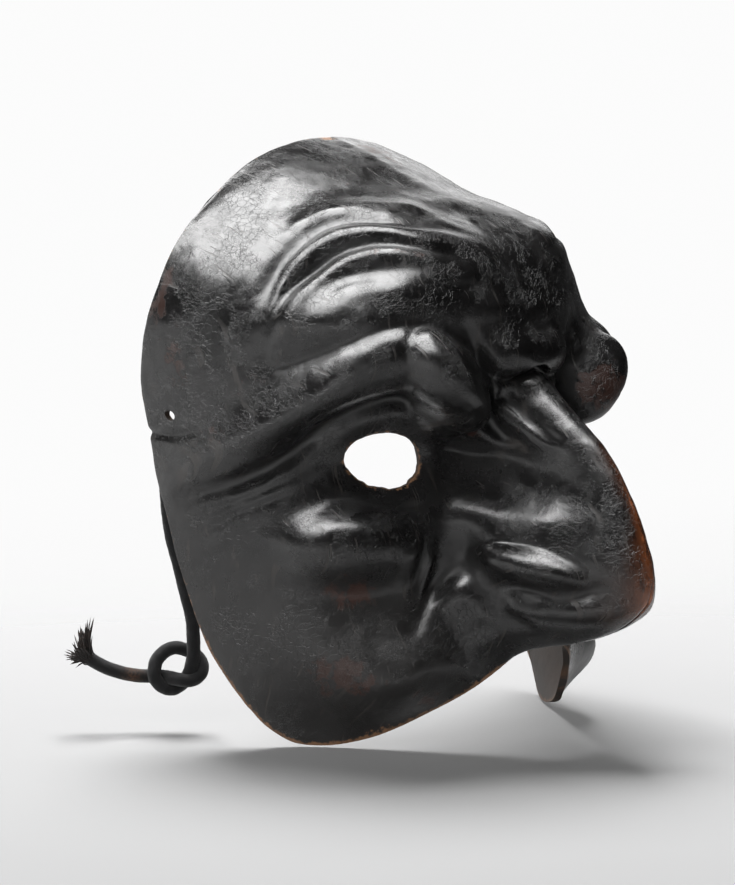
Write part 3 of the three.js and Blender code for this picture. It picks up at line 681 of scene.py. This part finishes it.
def open_hole(share, down, sign, place, half_width, half_height, cells, rough):
    """Draws the grid's lines round a hole, so that one block of cells fills it. Gives the block."""
    a = (sign * share * LENGTH_ACROSS - place[0]) / half_width
    b = (bowl(np.abs(share), down)[..., 2] - place[1]) / half_height
    j0, i0 = np.unravel_index(np.argmin(a ** 2 + b ** 2), a.shape)
    cells_across, cells_down = cells
    reach_i, reach_j = int(cells_across * 2.8) + 1, int(cells_down * 2.8) + 1
    js = np.arange(max(j0 - reach_j, 1), min(j0 + reach_j + 1, share.shape[0] - 1))
    is_ = np.arange(max(i0 - reach_i, 1), min(i0 + reach_i + 1, share.shape[1] - 1))
    part = np.ix_(js, is_)
    ring = np.maximum(np.abs(is_[None, :] - i0) / cells_across, np.abs(js[:, None] - j0) / cells_down)
    turn = np.arctan2(b[part], a[part])
    radius = np.hypot(a[part], b[part])
    pull = 1 - smoothstep(ring, 1.0, 2.6)
    wanted = hole_edge(turn, rough) * np.maximum(ring, 0.05)
    radius = radius + (wanted - radius) * pull
    new_across = place[0] + radius * np.cos(turn) * half_width
    new_up = place[1] + radius * np.sin(turn) * half_height
    new_share = np.clip(new_across / LENGTH_ACROSS, 0.01, 0.999)
    share[part] = sign * new_share
    down[part] = down_at(new_share, new_up)
    return i0 - cells_across, i0 + cells_across, j0 - cells_down, j0 + cells_down


def patches(across, up, spots):
    """A mask of soft oval spots."""
    mask = np.zeros_like(across)
    for x, y, half_long, half_high, strength in spots:
        mask = np.maximum(mask, strength * np.exp(-oval(across, up, x, y, half_long, half_high, 0)))
    return mask


# rubbed patches: across (the wearer's right is minus), up, half length, half height, strength
RUBBED = [(-126, 104, 9, 14, 0.75), (-118, 88, 7, 18, 0.6), (-108, 62, 10, 6, 0.55), (-72, 12, 13, 8, 0.7),
          (-84, -14, 16, 12, 0.65), (-60, -22, 9, 9, 0.5), (-96, 78, 18, 12, 0.4), (10, 150, 20, 6, 0.6),
          (-40, 140, 22, 8, 0.35), (60, 118, 20, 10, 0.5), (112, 90, 12, 14, 0.65), (76, 4, 16, 10, 0.6),
          (92, -10, 12, 10, 0.5), (-24, 60, 8, 8, 0.35), (30, 78, 12, 8, 0.45), (-30, 112, 26, 10, 0.3)]
# stretches of the cut edge that are worn bare, in the same terms
BARE_SPOTS = [(-8, 154, 12, 2.5, 0.9), (-62, -33, 30, 4, 0.85)]


class MASK_OT_shell(bpy.types.Operator):
    """The moulded leather shell, with its eye holes, tie holes and cut edge"""
    bl_idname = "leather_mask.shell"
    bl_label = "Moulded shell"

    def execute(self, context):
        s = settings()
        rows, half = s.rows, s.columns
        tries = np.linspace(0, 1, 241)
        some = np.linspace(0.02, 0.98, 13)
        across_lines = outer_face(*np.meshgrid(tries, some, indexing="ij"))
        down_lines = outer_face(*np.meshgrid(some, tries, indexing="xy"))
        share_1 = spaced(half, across_lines)
        share_1 = np.concatenate([-share_1[:0:-1], share_1])
        down_1 = spaced(rows, down_lines)
        share, down = [g.copy() for g in np.meshgrid(share_1, down_1)]

        blocks = []
        for sign in (-1, 1):
            for place, width, height, cells, ragged in (
                    (EYE, s.eye_width, s.eye_height, EYE_CELLS, EYE_RAGGED),
                    (TIE_HOLE, s.tie_hole, s.tie_hole, TIE_CELLS, TIE_RAGGED)):
                blocks.append(open_hole(share, down, sign, place, width * 500, height * 500, cells, ragged))

        up = bowl(np.abs(share), down)[..., 2]
        across = share * LENGTH_ACROSS
        outer = outer_face(share, down)
        way = normal_of(with_nose, np.minimum(np.abs(share), 0.97), np.clip(down, 0.02, 0.985))
        way[..., 0] *= np.where(share < 0, -1.0, 1.0)
        height = relief(np.abs(across), up, smoothstep(share, *FAR_SIDE))

        marks = np.zeros(share.shape)
        for j in range(rows + 1):
            for i in range(2 * half + 1):
                p = Vector(outer[j, i])
                marks[j, i] = sum(noise.noise(p * fine + Vector(shift)) * depth
                                  for fine, shift, depth in MARKS)
        crack = fold_height(-across, up, CRACK)
        outer = outer + way * (marks * s.hand_marks * 1000 + np.where(across < 0, crack, 0))[..., None]
        inner = outer - way * (s.leather * 1000 + 0.25 * marks)[..., None]

        # masks that the finish reads
        here = outer.reshape(-1, 3)
        edge_points = [outer[0], outer[-1], outer[:, 0], outer[:, -1]]
        gone = np.zeros((rows, 2 * half), bool)
        for i0, i1, j0, j1 in blocks:
            gone[j0:j1, i0:i1] = True
            edge_points += [outer[j0, i0:i1 + 1], outer[j1, i0:i1 + 1],
                            outer[j0:j1 + 1, i0], outer[j0:j1 + 1, i1]]
        edge_points = np.concatenate(edge_points)
        away = np.full(len(here), 1e9)
        for start in range(0, len(edge_points), 60):
            part = edge_points[start:start + 60]
            away = np.minimum(away, np.sqrt(((here[:, None] - part[None]) ** 2).sum(-1)).min(1))
        away = away.reshape(share.shape)
        at_rim = np.minimum(share + 1, 1 - share) < 0.12
        edge = np.exp(-(np.maximum(away - 0.3, 0) / 1.5)) * np.where(
            at_rim, 0.45 + 0.5 * smoothstep(down, 0.72, 0.9), 0.45 + 0.5 * smoothstep(down, 0.5, 0.9))
        edge = np.maximum(edge, patches(across, up, BARE_SPOTS) * (away < 3))
        nose_top = smoothstep(down, 0.66, 0.78) * (1 - smoothstep(down, 0.885, 0.92))
        nose_wear = np.exp(-((np.abs(across) / (4.0 + 6.5 * smoothstep(down, 0.76, 0.87))) ** 2)) * nose_top
        dull = (1 - smoothstep(up, -4, 34)) * smoothstep(np.abs(across), 34, 58)
        dull = np.maximum(dull, 0.55 * smoothstep(np.abs(across), 100, 128) * (1 - smoothstep(up, 30, 70)))
        slack = height.copy()
        for _ in range(14):
            slack[1:-1, 1:-1] = (slack[1:-1, 1:-1] * 2 + slack[:-2, 1:-1] + slack[2:, 1:-1] + slack[1:-1, :-2]
                                 + slack[1:-1, 2:]) / 6
        hollow = np.clip((slack - height) * 0.9, 0, 1)
        raised = np.clip((height - slack) * 0.6, 0, 0.5)
        rubbed = np.clip(patches(across, up, RUBBED) + raised * 0.55, 0, 1)
        masks = {"edge": edge, "nose_wear": nose_wear, "dull": dull, "hollow": hollow, "rubbed": rubbed}

        bm = bmesh.new()
        uv = bm.loops.layers.uv.new("UVMap")
        bmesh.ops.create_grid(bm, x_segments=2 * half, y_segments=rows, size=0.5, calc_uvs=True)
        layers = {name: bm.verts.layers.float.new(name) for name in masks}
        place_layer = bm.verts.layers.int.new("place")
        outer_row, inner_row = to_row(outer), to_row(inner)
        for v in bm.verts:
            i = round((v.co.x + 0.5) * 2 * half)
            j = round((0.5 - v.co.y) * rows)
            v[place_layer] = j * (2 * half + 1) + i
            for name, layer in layers.items():
                v[layer] = float(masks[name][j, i])
        cut = []
        for f in bm.faces:
            spot = [v[place_layer] for v in f.verts]
            i = min(k % (2 * half + 1) for k in spot)
            j = min(k // (2 * half + 1) for k in spot)
            if gone[j, i]:
                cut.append(f)
        bmesh.ops.delete(bm, geom=cut, context="FACES")
        for f in bm.faces:
            for loop in f.loops:
                k = loop.vert[place_layer]
                loop[uv].uv = (across.flat[k] / 1000.0, up.flat[k] / 1000.0)
        for v in bm.verts:
            v.co = Vector(outer_row.reshape(-1, 3)[v[place_layer]])
        first = set(bm.faces)
        made = bmesh.ops.extrude_face_region(bm, geom=bm.faces[:], use_keep_orig=True)["geom"]
        moved = [g for g in made if isinstance(g, bmesh.types.BMVert)]
        skin = set(g for g in made if isinstance(g, bmesh.types.BMFace))
        for v in moved:
            v.co = Vector(inner_row.reshape(-1, 3)[v[place_layer]])
        for f in bm.faces:
            f.material_index = 0 if f in first else 1 if f in skin else 2
        bmesh.ops.recalc_face_normals(bm, faces=bm.faces[:])
        corners = [e for e in bm.edges if len(e.link_faces) == 2
                   and {f.material_index for f in e.link_faces} in ({0, 2}, {1, 2})]
        bmesh.ops.bevel(bm, geom=corners, offset=0.00045, offset_type="OFFSET", segments=2, profile=0.5,
                        affect="EDGES", material=-1, clamp_overlap=True)
        piece = add_piece("mask_leather", bm, finish_leather())
        piece.data.materials.append(finish_inside())
        piece.data.materials.append(finish_edge())
        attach(piece, "root")
        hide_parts("mask_shell")
        return {"FINISHED"}


# ---------------------------------------------------------------------------
# The cord
# ---------------------------------------------------------------------------
# the camera's directions
VIEW_RIGHT = Vector((0.6947, -0.7193, 0.0))
VIEW_UP = Vector((0.0752, 0.0726, 0.9945))
VIEW_AWAY = Vector((0.7154, 0.6909, -0.1045))

# The cord's line, in millimetres from the middle of its knot: right, up and away as the
# camera sees it. It hangs inside the rim beside the tie hole, ties an overhand knot, and
# its stiff tail stands off to the side.
CORD_LINE = [
    (-3.8, 79.3, -15.2), (-3.6, 62.0, -12.0), (-2.2, 46.0, -9.0), (0.7, 33.4, -6.0), (3.0, 23.6, -4.2),
    (4.5, 17.0, -3.2), (4.9, 10.5, -2.6), (4.9, 5.0, -2.4), (3.8, 0.2, -1.2), (1.9, -3.6, 1.4),
    (-1.4, -6.2, 1.6), (-5.2, -5.6, -0.6), (-7.7, -2.4, -2.3), (-7.6, 2.2, -1.6), (-5.2, 5.6, -0.4),
    (-1.4, 7.2, 0.8), (2.8, 6.2, 2.2), (6.0, 4.2, 2.2), (7.6, 1.2, 1.0), (6.6, -2.0, -0.8),
    (3.2, -3.4, -2.2), (-1.0, -2.8, -1.8), (-5.4, -2.2, 1.2), (-9.0, -2.2, 2.2), (-13.0, -2.0, 1.0),
    (-18.7, -1.0, 0.4), (-24.9, 1.2, 0.0), (-29.6, 3.9, -0.2),
]


def knot_middle():
    low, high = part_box("tie_cord_knot")
    return (low + high) / 2


def cord_line(count):
    points = [(VIEW_RIGHT * r + VIEW_UP * u + VIEW_AWAY * a) / 1000.0 for r, u, a in CORD_LINE]
    line = smooth_path([list(knot_middle() + p) for p in points], count)
    for _ in range(3):
        line[1:-1] = (line[:-2] + 2 * line[1:-1] + line[2:]) / 4
    return [Vector(p) for p in line]


def frames(line):
    """Two crosswise directions along a line, carried on without twist."""
    side = None
    for k, p in enumerate(line):
        ahead = (line[min(k + 1, len(line) - 1)] - line[max(k - 1, 0)]).normalized()
        if side is None:
            side = ahead.orthogonal().normalized()
        side = (side - ahead * side.dot(ahead)).normalized()
        yield p, ahead, side, ahead.cross(side)


CORD_RINGS = 420
BRAID_PITCH = 0.0105
GOLDEN_TURN = 2.39996


def tube(bm, line, radius, around, uv_scale=1.0):
    """Wraps a grid round a line and closes its ends. radius(turn, ring) gives the radius."""
    uv = bm.loops.layers.uv.verify()
    made = bmesh.ops.create_grid(bm, x_segments=around, y_segments=len(line) - 1, size=0.5,
                                 calc_uvs=True)["verts"]
    rings = list(frames(line))
    faces = {f for v in made for f in v.link_faces}
    for f in faces:
        for loop in f.loops:
            loop[uv].uv = (loop.vert.co.x + 0.5, (loop.vert.co.y + 0.5) * uv_scale)
    for v in made:
        turn = (round((v.co.x + 0.5) * around) % around) / around * math.tau
        k = round((v.co.y + 0.5) * (len(line) - 1))
        p, ahead, side, across = rings[k]
        v.co = p + (side * math.cos(turn) + across * math.sin(turn)) * radius(turn, k)
    bmesh.ops.remove_doubles(bm, verts=made, dist=1e-7)
    return made


class MASK_OT_cord(bpy.types.Operator):
    """The braided tie cord with its overhand knot and frayed end"""
    bl_idname = "leather_mask.cord"
    bl_label = "Knotted tie cord"

    def execute(self, context):
        s = settings()
        line = cord_line(CORD_RINGS)
        length = sum((b - a).length for a, b in zip(line, line[1:]))
        step = length / (CORD_RINGS - 1)
        half = s.cord / 2

        def radius(turn, k):
            along = k * step
            end = min(along, length - along)
            cap = math.sqrt(max(0.0, 1 - (1 - min(end / half, 1.0)) ** 2)) if along < half else 1.0
            if k == CORD_RINGS - 1:
                cap = 0.0
            pitch = math.tau * along / BRAID_PITCH
            one = abs(math.sin(2.5 * turn + pitch))
            two = abs(math.sin(2.5 * turn + 0.7 - pitch))
            braid = max(one, two) - 0.8
            wander = noise.noise(Vector((along * 160, turn * 0.3, 2.0)))
            return half * cap * (0.99 + 0.09 * braid + 0.035 * wander)

        bm = bmesh.new()
        tube(bm, line, radius, 20, length)
        bmesh.ops.recalc_face_normals(bm, faces=bm.faces[:])
        rub = bm.verts.layers.float.new("rubbed")
        worn_at = line[int(CORD_RINGS * (1 - 0.016 / length))]
        for v in bm.verts:
            v[rub] = math.exp(-((v.co - worn_at).length / 0.0028) ** 2) * 0.95
        finish = finish_cord()
        cord = add_piece("tie_cord_braid", bm, finish)
        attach(cord, "root")
        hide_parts("tie_cord", "tie_cord_knot", "tie_cord_tail")

        # loose threads that fan out of the end
        bm = bmesh.new()
        end = line[-1]
        ahead = (line[-1] - line[-9]).normalized()
        lift = (VIEW_UP - ahead * VIEW_UP.dot(ahead)).normalized()
        depth = ahead.cross(lift)
        pick = np.random.default_rng(11)
        for n in range(s.strands):
            angle = n * GOLDEN_TURN
            out = math.sqrt((n + 0.5) / s.strands)
            root = end - ahead * 0.002 \
                + (lift * math.cos(angle) + depth * math.sin(angle)) * half * 0.86 * out
            fan = lift * (math.cos(angle) * out * 0.6 + 0.4 + pick.normal(0, 0.16)) \
                + depth * (math.sin(angle) * out * 0.65 + pick.normal(0, 0.14))
            reach = 0.0068 + pick.normal(0, 0.0014)
            bend = (lift * pick.normal(0.1, 0.4) + depth * pick.normal(0, 0.35)) * 0.004
            thread = []
            for k in range(9):
                q = k / 8
                thread.append(root + ahead * reach * q + fan * reach * q * q * 0.9 + bend * q ** 3
                              + (lift * math.sin(q * 9 + n) + depth * math.cos(q * 8 + n)) * 0.00022 * q)
            thick = 0.00030 + abs(pick.normal(0, 0.00008))
            tube(bm, thread, lambda turn, k, thick=thick: thick * (0.02 if k in (0, 8) else 1 - 0.45 * k / 8),
                 6, reach)
        bmesh.ops.recalc_face_normals(bm, faces=bm.faces[:])
        rub = bm.verts.layers.float.new("rubbed")
        for v in bm.verts:
            v[rub] = 0.25 * max(0.0, min(1.0, (v.co - end).length / 0.009))
        fray = add_piece("frayed_end", bm, finish)
        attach(fray, "root")
        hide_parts("tie_cord_frayed_end")
        return {"FINISHED"}


# ---------------------------------------------------------------------------
# The stage
# ---------------------------------------------------------------------------
CAMERA_PLACE = (-0.8199, -0.7291, 0.1129)
LENS = 138.7
GLOW_SIDE = (-0.87, 0.50, 0.0)       # the side of the room that glows low down


class MASK_OT_stage(bpy.types.Operator):
    """The camera, pale floor and soft studio light"""
    bl_idname = "leather_mask.stage"
    bl_label = "Studio stage"

    def execute(self, context):
        scene = context.scene
        scene.view_settings.view_transform = "Standard"
        camera = bpy.data.objects.new("camera", bpy.data.cameras.new("camera"))
        scene.collection.objects.link(camera)
        camera.data.lens = LENS
        camera.data.sensor_width = 36.0
        camera.data.clip_start, camera.data.clip_end = 0.05, 50
        camera.location = CAMERA_PLACE
        camera.rotation_mode = "QUATERNION"
        camera.rotation_quaternion = VIEW_AWAY.to_track_quat("-Z", "Y")
        scene.camera = camera

        bm = bmesh.new()
        bmesh.ops.create_circle(bm, cap_ends=True, segments=96, radius=3.2)
        bmesh.ops.translate(bm, verts=bm.verts, vec=(0, 0, CAD_BOX[0].z - 0.0004))
        floor = add_piece("floor", bm, finish_floor())

        def lamp(name, place, aim, size, size_y, power):
            light = bpy.data.lights.new(name, "AREA")
            light.shape = "RECTANGLE"
            light.size, light.size_y = size, size_y
            light.energy = power
            thing = bpy.data.objects.new(name, light)
            thing.location = place
            thing.rotation_mode = "QUATERNION"
            thing.rotation_quaternion = (Vector(aim) - Vector(place)).to_track_quat("-Z", "Y")
            scene.collection.objects.link(thing)
            return thing

        sheen = lamp("overhead_sheen", (-0.38, 0.28, 1.3), (-0.1, 0.05, 0), 1.35, 1.3, 72)
        sheen.visible_diffuse = False
        behind_lamp = lamp("behind_shade", (0.30, 0.50, 1.1), (0, 0, -0.05), 0.65, 0.65, 62)
        behind_lamp.visible_glossy = False
        fill = lamp("left_fill", (-1.1, -0.45, 0.4), (0, 0, 0), 0.8, 0.8, 12)
        fill.visible_glossy = False
        lamp("right_back", (1.2, 0.9, 0.6), (0, 0, 0), 0.6, 0.6, 2)

        world = bpy.data.worlds.new("Soft Studio")
        world.use_nodes = True
        scene.world = world
        t = Tree(world.node_tree)
        backdrop = world.node_tree.nodes["Background"]
        way = t.add("ShaderNodeTexCoord").outputs["Generated"]
        behind = t.add("ShaderNodeVectorMath", {0: way, 1: GLOW_SIDE},
                       operation="DOT_PRODUCT").outputs["Value"]
        rise = t.add("ShaderNodeSeparateXYZ", {0: way}).outputs["Z"]
        low = t.between(rise, 0.03, 0.27, 1.0, 0.03)
        glow = t.times(t.between(behind, 0.15, 0.80, 0.06, 1.25), low)
        backdrop.inputs["Color"].default_value = (1.0, 1.0, 1.0, 1.0)
        seen = t.add("ShaderNodeLightPath").outputs["Is Camera Ray"]
        strength = t.add("ShaderNodeMix", {"Factor": seen, 2: glow, 3: 0.97}, data_type="FLOAT").outputs[0]
        t.tree.links.new(strength, backdrop.inputs["Strength"])
        return {"FINISHED"}


class MASK_PT_panel(bpy.types.Panel):
    """Builds the mask piece by piece"""
    bl_idname = "MASK_PT_panel"
    bl_label = "Leather Mask"
    bl_space_type = "VIEW_3D"
    bl_region_type = "UI"
    bl_category = "Leather Mask"

    def draw(self, context):
        s = context.scene.leather_mask
        for name in s.bl_rna.properties.keys():
            if name not in ("rna_type", "name"):
                self.layout.prop(s, name)
        for operator in OPERATORS:
            self.layout.operator(operator.bl_idname)


OPERATORS = (MASK_OT_stage, MASK_OT_cord, MASK_OT_shell)
CLASSES = (LeatherMaskSettings, *OPERATORS, MASK_PT_panel)


def register():
    for cls in CLASSES:
        bpy.utils.register_class(cls)
    bpy.types.Scene.leather_mask = PointerProperty(type=LeatherMaskSettings)


def unregister():
    del bpy.types.Scene.leather_mask
    for cls in reversed(CLASSES):
        bpy.utils.unregister_class(cls)


def main():
    register()
    bpy.ops.leather_mask.stage()
    bpy.ops.leather_mask.cord()
    bpy.ops.leather_mask.shell()


if __name__ == "__main__":
    main()
